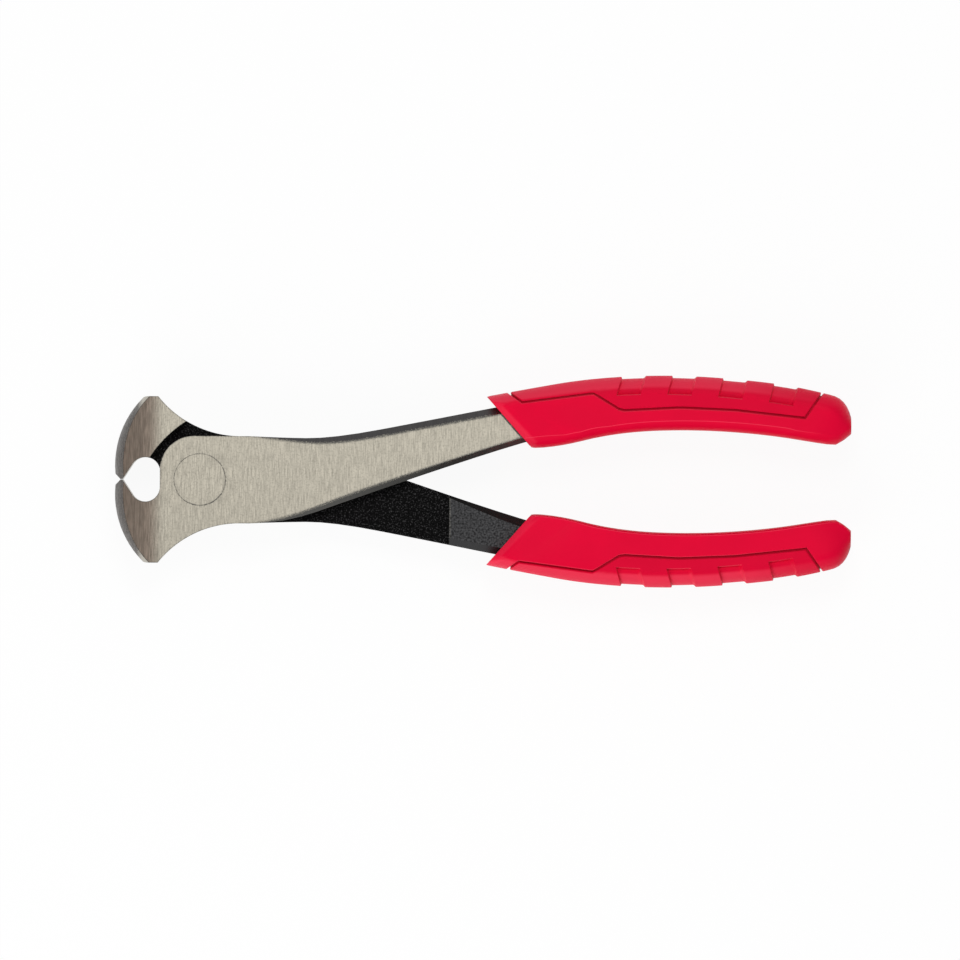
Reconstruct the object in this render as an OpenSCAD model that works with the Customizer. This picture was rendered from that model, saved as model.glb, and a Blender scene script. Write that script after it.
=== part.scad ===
// End cutting nippers: two lapped levers on a flush rivet, each with a moulded two-shot grip.
// X runs from the jaws to the grips, Y towards the upper handle, and Z is the pivot axis.
// The origin lies on the pivot axis, on the ground rear face of the joint.
// One lever is the other turned over about X, so each form is drawn once about the lap plane.

/* [Joint] */
// Width of the hub across the tool
hub_w = 21.8; // [20.6:0.2:23]
// Thickness of the joint over both laps
joint_t = 13; // [12:0.5:14]
// Pivot axis to the hub's front wall
hub_front = 10; // [9.4:0.1:10.4]
// Radius of the rounded front corner of the hub
hub_corner_r = 8.5; // [6:0.5:9]
// Radius of the shoulder wall that the other hub turns inside
shoulder_r = 30; // [29.4:0.2:31]
// Distance of that radius's centre behind the pivot axis
shoulder_back = 12.75; // [12.4:0.05:13]
// Rise of that radius's centre from the middle of the tool
shoulder_rise = 10.7; // [10.4:0.1:11]
// Radius of the flush rivet heads
rivet_head_r = 6.4; // [5.6:0.2:7]
// Radius of the rivet's shank
rivet_shank_r = 4.2; // [3.4:0.1:4.8]
// Depth of each countersunk rivet head
rivet_head_d = 2.2; // [1.6:0.2:3]

/* [Jaws] */
// Pivot axis to the outermost face of the jaws
jaw_reach = 21.3; // [20.4:0.1:22.4]
// Height of the closed jaws over both crowns
jaw_span = 41.6; // [40:0.2:43]
// Width of the jaws along the cutting edges
jaw_w = 23; // [20:0.5:26]
// Radius of the jaws' outer face in side view
jaw_face_r = 23.9; // [23:0.1:25]
// Drop of that radius's centre from the middle of the tool
jaw_face_drop = 3.6; // [3.2:0.1:4]
// Radius of the rounded crown
crown_r = 3.5; // [2.5:0.25:4]
// Radius of the neck between the crown and the hub
neck_r = 26.3; // [25:0.1:28]
// Pivot axis to where the neck runs out along the hub
neck_end = 10; // [9:0.2:11]
// Pivot axis to where the flare of the jaws starts
flare_start = 7; // [5:0.5:9]
// How far the outer face bulges between its edges
face_bulge = 2.25; // [1.5:0.25:2.75]
// Radius of the round throat behind the cutting edges
throat_r = 3.7; // [3.5:0.1:4]
// Drop of the throat's centre from the middle of the tool
throat_drop = 1.85; // [1.65:0.1:2.15]
// How far the cutting edges lie behind the outermost face
edge_setback = 1.75; // [1.45:0.1:2.05]
// Height of the outer bevel behind each cutting edge
edge_bevel_h = 1.6; // [1.3:0.1:2]

/* [Arms] */
// Pivot axis to the step where the lap ends
lap_end = 62.4; // [58:0.4:66]
// Pivot axis to the hidden end of the tang
tang_reach = 150; // [140:1:152]
// Thickness of the tang behind the step
tang_t = 11; // [10:0.5:12]
// Step down of the tang's ground face where the grip covers it
tang_step = 1; // [0.6:0.1:1.6]
// Width of the dark bevels beside the ground face
arm_bevel_w = 1.9; // [1.4:0.1:2.2]
// Depth of those bevels
arm_bevel_d = 2.4; // [1.8:0.2:2.8]

/* [Grips] */
// Pivot axis to the rear end of the grips
handle_reach = 162.75; // [158:0.25:168]
// Width over both grips
grip_span = 53; // [51:0.5:56]
// Thickness of each grip
grip_t = 19; // [18:0.5:21]
// Width of the rounding along the outer side of a grip
outer_round_w = 4.2; // [3.4:0.2:4.8]
// Width of the rounding along the inner side of a grip, on its front
inner_round_w = 2.3; // [1.9:0.1:2.8]
// The same on its back
back_round_w = 0.9; // [0.7:0.1:1.5]
// Thickness of the soft pad
pad_t = 1.6; // [1.2:0.1:1.9]
// Width of the seam around the pad
seam_gap = 0.45; // [0.3:0.05:0.7]
// Number of pockets along the pad's outer side
pocket_count = 4; // [2:1:4]
// Pivot axis to the first pocket
pocket_first = 105; // [104:0.5:107]
// Distance from one pocket to the next
pocket_pitch = 12.7; // [11.5:0.1:13]
// Length of a pocket along the grip
pocket_w = 6.1; // [4.5:0.1:7]
// Reach of a pocket in from the grip's outer side
pocket_reach = 4.75; // [3.5:0.05:5]
// Depth of a pocket below the pad's surface
pocket_d = 0.7; // [0.4:0.1:0.9]

/* [Hidden] */
// Clearances
lap_gap = 0.1;
rivet_gap = 0.05;
edge_gap = 0.1;
bond_gap = 0.1;
nose_gap = 0.3;
// Small sizes of the levers
edge_land = 0.5;
crown_lean = 0.3;
head_relief = 0.1;
head_rim = 0.3;
arm_root = 12.5;
// Small sizes of the grips
outer_round_d = 6.4;
inner_round_d = 4.4;
back_round_d = 2.4;
nose_round = 1.2;
nose_trim = 0.3;
pocket_slant = 1.3;
// Angle of the crease where the inner rounding leaves the flat side of a grip
crease_turn = 15;
// Overrun that serves all cuts
overrun = 2;
// Counts of straight steps along arcs, curves and corners
arc_steps = 20;
curve_steps = 4;
corner_steps = 4;
$fn = 96;

hub_h = hub_w / 2;
lap_t = joint_t / 2;
half_span = grip_span / 2;
crown_y = jaw_span / 2;
edge_x = edge_setback - jaw_reach;
face_centre = [jaw_face_r - jaw_reach, -jaw_face_drop];
throat_centre = [-hub_front - throat_r, -throat_drop];
flare_rise = (jaw_w - joint_t) / 2;
flare_len = -edge_x - flare_start;
flare_r = (pow(flare_len, 2) + pow(flare_rise, 2)) / (2 * flare_rise);
bulge_r = (pow(jaw_w / 2, 2) + pow(face_bulge, 2)) / (2 * face_bulge);
tang_back = lap_t - tang_t;

// Control points of the arm's edges: shares of the handle's reach, then of the hub's half width
arm_outer_root_shares = [[0.123, 0.968], [0.203, 0.955]];
arm_inner_root_shares = [[0.128, -1], [0.2335, -0.436]];
// The same, but shares of the handle's reach and of half the width over both grips
arm_outer_tang_shares = [[0.356, 0.574], [0.492, 0.74], [0.645, 0.902], [0.786, 0.86], [0.94, 0.752]];
arm_inner_tang_shares = [[0.356, 0.083], [0.492, 0.358], [0.627, 0.585], [0.786, 0.611], [0.94, 0.504]];
// Bevels along the arm, one share of the full bevel at each control point
outer_bevel_shares = [0.03, 0.3, 0.9, 0.9, 1, 1, 1, 1];
inner_bevel_shares = [0.03, 0.45, 0.75, 0.68, 0.7, 0.7, 0.7, 0.7];
rear_bevel_shares = [0.03, 0.03, 0.03, 0.05, 1.3, 1.1, 0.6, 0.6];
// Control points of the grip's two sides, from the nose to the rear end
grip_outer_shares = [[0.442, 0.796], [0.4916, 0.857], [0.602, 0.977], [0.737, 1.011],
    [0.879, 0.94], [0.95, 0.855], [0.993, 0.785], [1, 0.611]];
grip_inner_shares = [[0.511, 0.313], [0.541, 0.309], [0.639, 0.46], [0.75, 0.494],
    [0.866, 0.452], [0.967, 0.352], [0.981, 0.352], [1, 0.455]];
grip_depth_shares = [0.92, 1, 1, 1, 1, 1, 0.97, 0.72];
// Widest roundings where the grip is narrow
inner_round_share = 0.36;
outer_round_share = 0.56;
// Least rounding below the surface, and the nose's rim within the first station
least_round_share = 0.3;
nose_share = 0.3;
// Outline of the pad in side view, closed above the grip
pad_outline_shares = [[0.436, 1.3], [0.436, 1.03], [0.4936, 0.759], [0.604, 0.849], [0.647, 0.687],
    [0.737, 0.717], [0.823, 0.694], [0.9287, 0.623], [0.973, 1.02], [0.973, 1.3]];

function placed(shares, x_size, y_size) = [for (s = shares) [s.x * x_size, s.y * y_size]];

function arc_points(centre, r, from, to) =
    [for (i = [0:arc_steps]) let (a = from + (to - from) * i / arc_steps) centre + r * [cos(a), sin(a)]];

function bend(a, b, c, t) = pow(1 - t, 2) * a + 2 * t * (1 - t) * b + t * t * c;

// Smooth curve that leaves the first control point and ends on the last one
function soft_curve(p) = let (last = len(p) - 1) [
    for (i = [1:last - 1])
        let (a = i == 1 ? p[0] : (p[i - 1] + p[i]) / 2, c = i == last - 1 ? p[last] : (p[i] + p[i + 1]) / 2)
        for (k = [0:curve_steps - 1]) bend(a, p[i], c, k / curve_steps),
    p[last]
];

// Point at a distance s from the inner edge towards the outer edge, at the height z
function across(inner, outer, s, z) =
    let (p = inner + (outer - inner) * s / norm(outer - inner)) [p.x, p.y, z];

arm_outer = soft_curve(concat([[arm_root, hub_h]],
    placed(arm_outer_root_shares, handle_reach, hub_h),
    placed(arm_outer_tang_shares, handle_reach, half_span)));
arm_inner = soft_curve(concat([[arm_root, -hub_h]],
    placed(arm_inner_root_shares, handle_reach, hub_h),
    placed(arm_inner_tang_shares, handle_reach, half_span)));
outer_bevel = soft_curve(outer_bevel_shares);
inner_bevel = soft_curve(inner_bevel_shares);
rear_bevel = soft_curve(rear_bevel_shares);
grip_outer = soft_curve(placed(grip_outer_shares, handle_reach, half_span));
grip_inner = soft_curve(placed(grip_inner_shares, handle_reach, half_span));
grip_depth = soft_curve(grip_depth_shares);
pad_outline = placed(pad_outline_shares, handle_reach, half_span);

// Solid through a row of rings with equal numbers of points
module loft(rings) {
    n = len(rings[0]);
    last = len(rings) - 1;
    sides = [for (i = [0:last - 1], j = [0:n - 1])
        let (a = i * n + j, b = i * n + (j + 1) % n)
        each [[a + n, b + n, b], [a + n, b, a]]];
    start_cap = [for (j = [0:n - 1]) j];
    end_cap = [for (j = [n - 1:-1:0]) last * n + j];
    polyhedron([for (ring = rings) each ring], concat(sides, [start_cap, end_cap]));
}

// Places a form drawn about the lap plane in the shared frame
module on_rear_face() {
    translate([0, 0, lap_t])
        children();
}

module turned_over() {
    rotate([180, 0, 0])
        children();
}

// Prism through the whole thickness of the tool
module through_cut(outline) {
    translate([0, 0, -jaw_w])
        linear_extrude(2 * jaw_w)
            polygon(outline);
}

// Side view of a jaw, its throat and the hub, with the outer face left oversize
module jaw_outline() {
    edge = [edge_x, -edge_gap / 2];
    throat_dir = throat_centre - edge;
    throat_turn = atan2(throat_dir.y, throat_dir.x) - asin(throat_r / norm(throat_dir));
    bevel_dir = [-edge_setback, -edge_bevel_h];
    crown_fit = jaw_face_r - crown_r + crown_lean;
    crown_drop = crown_y - crown_r - jaw_face_drop;
    crown_centre = [face_centre.x - sqrt(pow(crown_fit, 2) - pow(crown_drop, 2)), crown_r - crown_y];
    neck_centre = [neck_end, -hub_h - neck_r];
    neck_turn = 90 + acos((neck_r + hub_h - crown_y) / neck_r);
    corner_centre = [hub_corner_r - hub_front, hub_h - hub_corner_r];
    outside_x = -jaw_reach - overrun;
    bevel_end = edge + bevel_dir * (outside_x - edge.x) / bevel_dir.x;
    polygon(concat(
        [edge + [edge_land / 2, 0]],
        arc_points(throat_centre, throat_r, throat_turn + 270, 360),
        arc_points(corner_centre, hub_corner_r, 180, 90),
        [[arm_root, hub_h], [arm_root, -hub_h]],
        arc_points(neck_centre, neck_r, 90, neck_turn),
        arc_points(crown_centre, crown_r, 270, 225),
        [[outside_x, crown_centre.y], bevel_end, edge - [edge_land / 2, 0]]));
}

// Top view of the hub and of the jaws' flare, as ground by a wheel
module flare_outline() {
    flare_centre = [-flare_start, lap_t + flare_r];
    flare_turn = 270 - asin((flare_len + edge_setback) / flare_r);
    ground = arc_points(flare_centre, flare_r, 270, flare_turn);
    upper = concat([[arm_root + overrun, lap_t]], ground, [[-jaw_reach - overrun, ground[arc_steps].y]]);
    lower = [for (i = [len(upper) - 1:-1:0]) [upper[i].x, -upper[i].y]];
    polygon(concat(upper, lower));
}

// Barrel that rounds the outer face between the two ends of the cutting edge
module face_barrel() {
    bulge_turn = asin((jaw_w / 2 + overrun) / bulge_r);
    rim = arc_points([jaw_face_r - bulge_r, 0], bulge_r, -bulge_turn, bulge_turn);
    translate(face_centre)
        rotate_extrude()
            polygon(concat([[0, rim[0].y]], rim, [[0, rim[len(rim) - 1].y]]));
}

module jaw_and_hub() {
    intersection() {
        translate([0, 0, -jaw_w])
            linear_extrude(2 * jaw_w)
                jaw_outline();
        translate([0, 2 * jaw_span, 0])
            rotate([90, 0, 0])
                linear_extrude(4 * jaw_span)
                    flare_outline();
        face_barrel();
    }
}

// Arm and tang with bevelled edges, grown on every side by a clearance
module arm_and_tang(grow) {
    back = tang_back - grow;
    front = lap_t + grow;
    rings = [for (i = [0:len(arm_outer) - 1])
        let (inner = arm_inner[i], outer = arm_outer[i])
        let (low = -grow, high = norm(outer - inner) + grow)
        let (o = outer_bevel[i], n = inner_bevel[i], r = rear_bevel[i])
        [
            across(inner, outer, low, back + r * arm_bevel_d),
            across(inner, outer, low + r * arm_bevel_w, back),
            across(inner, outer, high - o * arm_bevel_w, back),
            across(inner, outer, high, back + o * arm_bevel_d),
            across(inner, outer, high, front - o * arm_bevel_d),
            across(inner, outer, high - o * arm_bevel_w, front),
            across(inner, outer, low + n * arm_bevel_w, front),
            across(inner, outer, low, front - n * arm_bevel_d)
        ]];
    nose_line = grip_outer[0] - grip_inner[0];
    step_low = grip_inner[0] - nose_line - [nose_gap, 0];
    step_high = grip_outer[0] + nose_line - [nose_gap, 0];
    behind = [2 * handle_reach, 0];
    difference() {
        loft(rings);
        translate([tang_reach + grow, 0, -jaw_w])
            cube([handle_reach, grip_span, 2 * jaw_w]);
        translate([0, 0, front - tang_step])
            linear_extrude(jaw_w)
                polygon([step_low, step_low + behind, step_high + behind, step_high]);
    }
}

// Half of the thickness that makes room for the other lever
module lap_cut() {
    cut_t = jaw_w;
    translate([0, 0, lap_gap / 2 - cut_t]) {
        translate([shoulder_back, shoulder_rise, 0])
            cylinder(r = shoulder_r, h = cut_t);
        translate([0, -grip_span, 0])
            cube([lap_end, 2 * grip_span, cut_t]);
    }
}

// Shank and countersunk heads of the rivet, grown by a clearance
module rivet_form(grow, head_z) {
    shank = rivet_shank_r + grow;
    head = rivet_head_r + grow;
    cone_z = lap_t - rivet_head_d;
    rotate_extrude()
        polygon([[0, -head_z], [head, -head_z], [head, head_rim - lap_t], [shank, -cone_z],
            [shank, cone_z], [head, lap_t - head_rim], [head, head_z], [0, head_z]]);
}

// The bright front lever, drawn about the lap plane
module lever() {
    difference() {
        union() {
            jaw_and_hub();
            arm_and_tang(0);
        }
        lap_cut();
        rivet_form(rivet_gap, lap_t + overrun);
    }
}

// Ring of a grip between two opposite points of its sides, set in from its surface
function grip_ring(inner, outer, half_t, inset) =
    let (low = inset, high = norm(outer - inner) - inset, z = half_t - inset, room = high - low)
    let (front_w = min(round_left(inner_round_w, inset), inner_round_share * room) / (1 - sin(crease_turn)))
    let (back_w = min(round_left(back_round_w, inset), inner_round_share * room) / (1 - sin(crease_turn)))
    let (outer_w = min(round_left(outer_round_w, inset), outer_round_share * room))
    let (front_d = round_left(inner_round_d, inset), front_reach = front_d / cos(crease_turn))
    let (back_d = round_left(back_round_d, inset), back_reach = back_d / cos(crease_turn))
    let (outer_d = round_left(outer_round_d, inset))
    let (corners = [
        [low + back_w, back_d - z, back_w, back_reach, 180, 270 - crease_turn],
        [high - outer_w, outer_d - z, outer_w, outer_d, 270, 360],
        [high - outer_w, z - outer_d, outer_w, outer_d, 0, 90],
        [low + front_w, z - front_d, front_w, front_reach, 90 + crease_turn, 180]
    ])
    [for (c = corners, k = [0:corner_steps])
        let (a = c[4] + (c[5] - c[4]) * k / corner_steps)
        across(inner, outer, c[0] + c[2] * cos(a), c[1] + c[3] * sin(a))];

// Rounding that is left at a distance below the surface
function round_left(r, inset) = max(r - inset, least_round_share * r);

function between(list, share) = list[0] + (list[1] - list[0]) * share;

// Whole grip without its bore, set in from its surface, with a rounded rim at the nose
module grip_body(inset) {
    half_t = grip_t / 2;
    nose_rim = grip_ring(grip_inner[0], grip_outer[0],
        grip_depth[0] * half_t - nose_round, inset + nose_trim);
    nose = grip_ring(between(grip_inner, nose_share), between(grip_outer, nose_share),
        between(grip_depth, nose_share) * half_t, inset);
    loft(concat([nose_rim, nose], [for (i = [1:len(grip_outer) - 1])
        grip_ring(grip_inner[i], grip_outer[i], grip_depth[i] * half_t, inset)]));
}

// Slanted pocket between two raised blocks of the pad
module pocket_cut(i) {
    x = pocket_first + i * pocket_pitch;
    y = lookup(x + pocket_w / 2, grip_outer);
    slant = [pocket_slant, pocket_reach];
    start = [x, y] - slant;
    reach = slant * (pocket_reach + overrun) / pocket_reach;
    through_cut([start, start + [pocket_w, 0], start + [pocket_w, 0] + reach, start + reach]);
}

module grip_sleeve() {
    difference() {
        grip_body(0);
        difference() {
            translate([0, -seam_gap, 0])
                through_cut(pad_outline);
            grip_body(pad_t);
        }
        arm_and_tang(bond_gap);
    }
}

module grip_pad() {
    difference() {
        intersection() {
            grip_body(0);
            through_cut(pad_outline);
        }
        grip_body(pad_t - bond_gap);
        difference() {
            for (i = [0:pocket_count - 1])
                pocket_cut(i);
            grip_body(pocket_d);
        }
    }
}

module front_lever() {
    color([0.74, 0.72, 0.68])
        on_rear_face()
            lever();
}

module back_lever() {
    color([0.2, 0.21, 0.22])
        on_rear_face()
            turned_over()
                lever();
}

module pivot_rivet() {
    color([0.7, 0.69, 0.66])
        on_rear_face()
            rivet_form(0, lap_t - head_relief);
}

module upper_grip_sleeve() {
    color([0.82, 0.02, 0.12])
        on_rear_face()
            grip_sleeve();
}

module upper_grip_pad() {
    color([0.88, 0.05, 0.16])
        on_rear_face()
            grip_pad();
}

module lower_grip_sleeve() {
    color([0.82, 0.02, 0.12])
        on_rear_face()
            turned_over()
                grip_sleeve();
}

module lower_grip_pad() {
    color([0.88, 0.05, 0.16])
        on_rear_face()
            turned_over()
                grip_pad();
}

front_lever();
back_lever();
pivot_rivet();
upper_grip_sleeve();
upper_grip_pad();
lower_grip_sleeve();
lower_grip_pad();
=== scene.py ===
import math

import bpy
import numpy as np
from mathutils import Matrix, Vector


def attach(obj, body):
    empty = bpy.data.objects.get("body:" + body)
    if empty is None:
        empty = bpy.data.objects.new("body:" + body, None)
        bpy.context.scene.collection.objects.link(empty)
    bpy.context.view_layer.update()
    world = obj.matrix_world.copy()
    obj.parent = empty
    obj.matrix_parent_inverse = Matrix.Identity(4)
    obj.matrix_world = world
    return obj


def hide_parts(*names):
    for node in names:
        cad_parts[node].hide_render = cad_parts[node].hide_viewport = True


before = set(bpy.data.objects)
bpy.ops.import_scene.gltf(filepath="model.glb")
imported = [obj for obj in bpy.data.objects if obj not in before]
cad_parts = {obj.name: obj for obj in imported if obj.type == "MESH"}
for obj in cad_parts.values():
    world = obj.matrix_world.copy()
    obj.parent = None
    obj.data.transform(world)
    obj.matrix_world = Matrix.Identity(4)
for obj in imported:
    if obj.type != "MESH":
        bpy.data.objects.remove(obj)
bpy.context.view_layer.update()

# Lengths in this script are in millimetres and meshes are in metres
MM = 0.001

# Main sizes, the same as in the solids
LAP_Z = 6.5
FRONT_FACE_Z = 2 * LAP_Z
HANDLE_REACH = 162.75
HALF_SPAN = 26.5
GRIP_HALF_T = 9.5
TANG_REACH = 150
SHOULDER_R = 30
SHOULDER_BACK = 12.75
SHOULDER_RISE = 10.7
LAP_END = 62.4
RIVET_R = 6.4
# Heights of the tang's faces inside a grip, from the lap plane
TANG_FRONT = 5.5
TANG_BACK = -4.5

# Roundings of a grip's section, with width and depth on the inner side of its front and back
FRONT_ROUND = (2.45, 4.4)
BACK_ROUND = (0.7, 2.4)
OUTER_ROUND_W = 4.2
OUTER_ROUND_D = 6.4
# Most of a narrow section's width that these roundings take
INNER_ROUND_SHARE = 0.36
OUTER_ROUND_SHARE = 0.56
# Part of its quarter turn that an inner rounding leaves out, which makes a crease
CREASE_TURN = math.radians(15)
# The front's rounding swells behind the nose, and the painted highlights along both creases fade towards the
# rear end
SWELL_W = 1.3
SWELL_X = 88.5
SWELL_L = 8
CREASE_FADE = (148, 156)
BACK_CREASE_FADE = (156, 161)

# Pad and seam
PAD_T = 1.6
BOND_GAP = 0.1
SEAM_GAP = 0.55
LIP_R = 0.26
GROOVE_D = 0.8
SEAM_CORNER = 0.35
# The seam lies a little nearer to the inner side on the front of a grip than on its back
FRONT_SEAM_SHIFT = -0.2
BACK_SEAM_SHIFT = 0.45

# Pockets, which are deepest at their inner ends
POCKET_COUNT = 4
POCKET_FIRST = 105.3
POCKET_PITCH = 12.7
POCKET_W = 6.1
POCKET_REACH = 4.75
POCKET_SLANT = 1.3
POCKET_D = 0.55
POCKET_INNER_D = 1.15
POCKET_FRONT_WALL = 0.3
POCKET_REAR_WALL = 0.7
# The end walls start a little outside the pocket, and its inner wall stays clear of the seam
POCKET_WALL_LAP = 0.08
POCKET_SEAM_SPACE = 0.4

# Softened ends of a grip
NOSE_LAP = 0.3
NOSE_BEVEL_L = 1.6
NOSE_BEVEL_D = 1.1
NOSE_TRIM = 0.12
NOSE_TRIM_L = 0.5
TAIL_ROUND_L = 0.9

# Cut corners of the bore inside a grip
BORE_CUT_W = 1.3
BORE_CUT_D = 1.5

# Control points as shares of the handle's reach and of half the width over both grips
GRIP_OUTER_SHARES = [(0.442, 0.796), (0.4916, 0.857), (0.602, 0.977), (0.737, 1.011),
                     (0.879, 0.94), (0.95, 0.855), (0.993, 0.785), (1, 0.611)]
GRIP_INNER_SHARES = [(0.511, 0.313), (0.541, 0.309), (0.639, 0.46), (0.75, 0.494),
                     (0.866, 0.452), (0.967, 0.352), (0.981, 0.352), (1, 0.455)]
GRIP_DEPTH_SHARES = [0.92, 1, 1, 1, 1, 1, 0.97, 0.72]
TANG_OUTER_SHARES = [(0.356, 0.574), (0.492, 0.74), (0.645, 0.902), (0.786, 0.86), (0.94, 0.752)]
TANG_INNER_SHARES = [(0.356, 0.083), (0.492, 0.358), (0.627, 0.585), (0.786, 0.611), (0.94, 0.504)]
PAD_FRONT_SHARES = [(0.436, 1.03), (0.4936, 0.759)]
PAD_SEAM_SHARES = [(0.4936, 0.759), (0.604, 0.849), (0.647, 0.687), (0.737, 0.717), (0.823, 0.694),
                   (0.9287, 0.623)]
PAD_REAR_SHARES = [(0.9287, 0.623), (0.973, 1.02)]

# Fineness: points on a stretch of curve, round a corner of the seam and on an arc of a section
CURVE_STEPS = 40
CORNER_POINTS = 7
ARC_POINTS = 60
# Columns of a grip's mesh: distances from both ends of a stretch, up to a share of it, and the step between
FINE_COLUMNS = np.array([0.03, 0.08, 0.15, 0.22, 0.3, 0.45, 0.7, 1.1, 1.6])
FINE_SHARE = 0.42
COARSE_STEP = 1.5
# Rows of a grip's mesh: distances from a lip, a pocket's inner wall and the crease, and counts between them
LIP_ROWS = np.array([0, 0.03, 0.08, 0.15, 0.22, 0.3, 0.5])
WALL_ROWS = np.array([-0.16, -0.06, 0.02, 0.08, 0.14, 0.2, 0.3])
CREASE_ROWS = np.array([-0.12, 0, 0.12])
SIDE_STEPS = 3
INNER_ARC_STEPS = 10
FLAT_STEPS = 5
OUTER_ARC_STEPS = 14
# Least distance between rows, which the narrow rear end crowds together
ROW_STEP = 0.001
# Rows at the border of the pad's underside and of its recess that lie at the groove's depth
PAD_BORDER_ROWS = 1
RECESS_BORDER_ROWS = 2
BORE_STATIONS = 12
# Edges of a mesh stay sharp from this angle
SHARP_ANGLE = math.radians(50)
# Room for rounding errors
TINY = 1e-9

# Mark of the grips' points for painted light: a full painted highlight along the crease, a weak one on the
# nose's bevel, and painted shade below 0 in the seam's groove
PAINTED_LIGHT_MARK = "crease"
CREASE_HIGHLIGHT = 1
NOSE_HIGHLIGHT = 0.25
GROOVE_SHADE = -1


# Curves in side view

def placed(shares):
    """Points in millimetres from shares."""
    return np.array(shares, float) * (HANDLE_REACH, HALF_SPAN)


def bend(start, corner, end, share):
    """Quadratic curve from a start to an end that is drawn towards a corner."""
    return (1 - share) ** 2 * start + 2 * share * (1 - share) * corner + share ** 2 * end


def soft_curve(control):
    """Chain of quadratic curves through the midpoints of a row of control points."""
    control = np.array(control, float)
    last = len(control) - 1
    share = np.linspace(0, 1, CURVE_STEPS, endpoint=False)
    if control.ndim > 1:
        share = share[:, None]
    runs = []
    for i in range(1, last):
        start = control[0] if i == 1 else (control[i - 1] + control[i]) / 2
        end = control[last] if i == last - 1 else (control[i] + control[i + 1]) / 2
        runs.append(bend(start, control[i], end, share))
    runs.append(control[last:])
    return np.concatenate(runs)


def lengths_of(points):
    """Distance along a polyline to each of its points."""
    steps = np.linalg.norm(np.diff(points, axis=0), axis=1)
    return np.concatenate([[0], np.cumsum(steps)])


def point_at(points, distance):
    """Point of a polyline at a distance along it."""
    lengths = lengths_of(points)
    return np.array([np.interp(distance, lengths, points[:, k]) for k in range(2)])


def side_of(points, origin, direction):
    """Signed distance of points from a line, positive on its left."""
    unit = np.array(direction) / np.linalg.norm(direction)
    away = np.asarray(points) - origin
    return unit[0] * away[..., 1] - unit[1] * away[..., 0]


def right_of(direction):
    """Unit vector to the right of a direction."""
    return np.array([direction[1], -direction[0]]) / np.linalg.norm(direction)


def first_crossing(points, origin, direction):
    """First step of a polyline that crosses a line, and the share of that step before the line."""
    side = side_of(points, origin, direction)
    k = np.nonzero(side[:-1] * side[1:] <= 0)[0][0]
    return k, side[k] / (side[k] - side[k + 1])


def crossing(points, origin, direction):
    """Distance along a polyline to where it first crosses a line."""
    k, share = first_crossing(points, origin, direction)
    lengths = lengths_of(points)
    return lengths[k] + share * (lengths[k + 1] - lengths[k])


def softened(points, cut):
    """Polyline whose corners are rounded over a distance, with long straight ends."""
    out = [points[0] + (points[0] - points[1])]
    for before, corner, after in zip(points[:-2], points[1:-1], points[2:]):
        start = corner + (before - corner) * cut / np.linalg.norm(before - corner)
        end = corner + (after - corner) * cut / np.linalg.norm(after - corner)
        for share in np.linspace(0, 1, CORNER_POINTS):
            out.append(bend(start, corner, end, share))
    out.append(points[-1] + (points[-1] - points[-2]))
    return np.array(out)


def shifted(points, distance):
    """Polyline moved sideways, to its left for a positive distance."""
    along = np.gradient(points, axis=0)
    along /= np.linalg.norm(along, axis=1)[:, None]
    return points + distance * np.stack([-along[:, 1], along[:, 0]], axis=1)


def grip_edge(shares):
    """Side of a grip whose nose laps over the step in front of it."""
    control = placed(shares)
    control[0, 0] -= NOSE_LAP
    return soft_curve(control)


def seam_line(shift):
    """Long seam between sleeve and pad, moved towards the outer side."""
    return softened(placed(PAD_SEAM_SHARES) + (0, shift), SEAM_CORNER)


OUTER = grip_edge(GRIP_OUTER_SHARES)
INNER = grip_edge(GRIP_INNER_SHARES)
DEPTH = soft_curve(GRIP_DEPTH_SHARES)
FRONT_SEAM = seam_line(FRONT_SEAM_SHIFT)
BACK_SEAM = seam_line(BACK_SEAM_SHIFT)


# Columns of the grip's mesh: lines across the grip in side view

def column_on(origin, direction):
    """Distances along the outer and inner edges to where a line crosses them."""
    return np.array([crossing(OUTER, origin, direction), crossing(INNER, origin, direction)])


def pocket_column(x):
    """Column along a pocket's slanted wall that meets the outer edge at x."""
    y = np.interp(x, OUTER[:, 0], OUTER[:, 1])
    return column_on(np.array([x, y]), (POCKET_SLANT, POCKET_REACH))


def key_columns():
    """Columns that have to lie on an edge of the form, with names."""
    front_start, front_end = placed(PAD_FRONT_SHARES)
    rear_start, rear_end = placed(PAD_REAR_SHARES)
    front_way = front_end - front_start
    rear_way = rear_end - rear_start
    keys = [("nose", np.zeros(2)),
            ("front_sleeve", column_on(front_end + SEAM_GAP * right_of(front_way), front_way)),
            ("front_pad", column_on(front_end, front_way))]
    for i in range(POCKET_COUNT):
        x = POCKET_FIRST + i * POCKET_PITCH
        keys.append(("pocket_start", pocket_column(x)))
        keys.append(("pocket_end", pocket_column(x + POCKET_W)))
    keys.append(("rear_pad", column_on(rear_start, rear_way)))
    keys.append(("rear_sleeve", column_on(rear_start + SEAM_GAP * right_of(rear_way), rear_way)))
    keys.append(("tail", np.array([lengths_of(OUTER)[-1], lengths_of(INNER)[-1]])))
    return keys


def filled(length):
    """Distances along a stretch, close together at both of its ends."""
    fine = FINE_COLUMNS[FINE_COLUMNS < length * FINE_SHARE]
    start, end = fine[-1], length - fine[-1]
    count = max(1, int(np.ceil((end - start) / COARSE_STEP)))
    middle = np.linspace(start, end, count + 1)[1:-1]
    return np.concatenate([[0], fine, middle, length - fine[::-1]])


def grip_columns():
    """All columns as distances along both edges, and the index of each key column."""
    keys = key_columns()
    columns = []
    index = []
    for (name, start), (_, end) in zip(keys[:-1], keys[1:]):
        index.append((name, len(columns)))
        if name in ("front_sleeve", "rear_pad"):
            columns.append(start)
            continue
        length = end[0] - start[0]
        for distance in filled(length):
            columns.append(start + (end - start) * distance / length)
    index.append((keys[-1][0], len(columns)))
    columns.append(keys[-1][1])
    return np.array(columns), index


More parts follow.
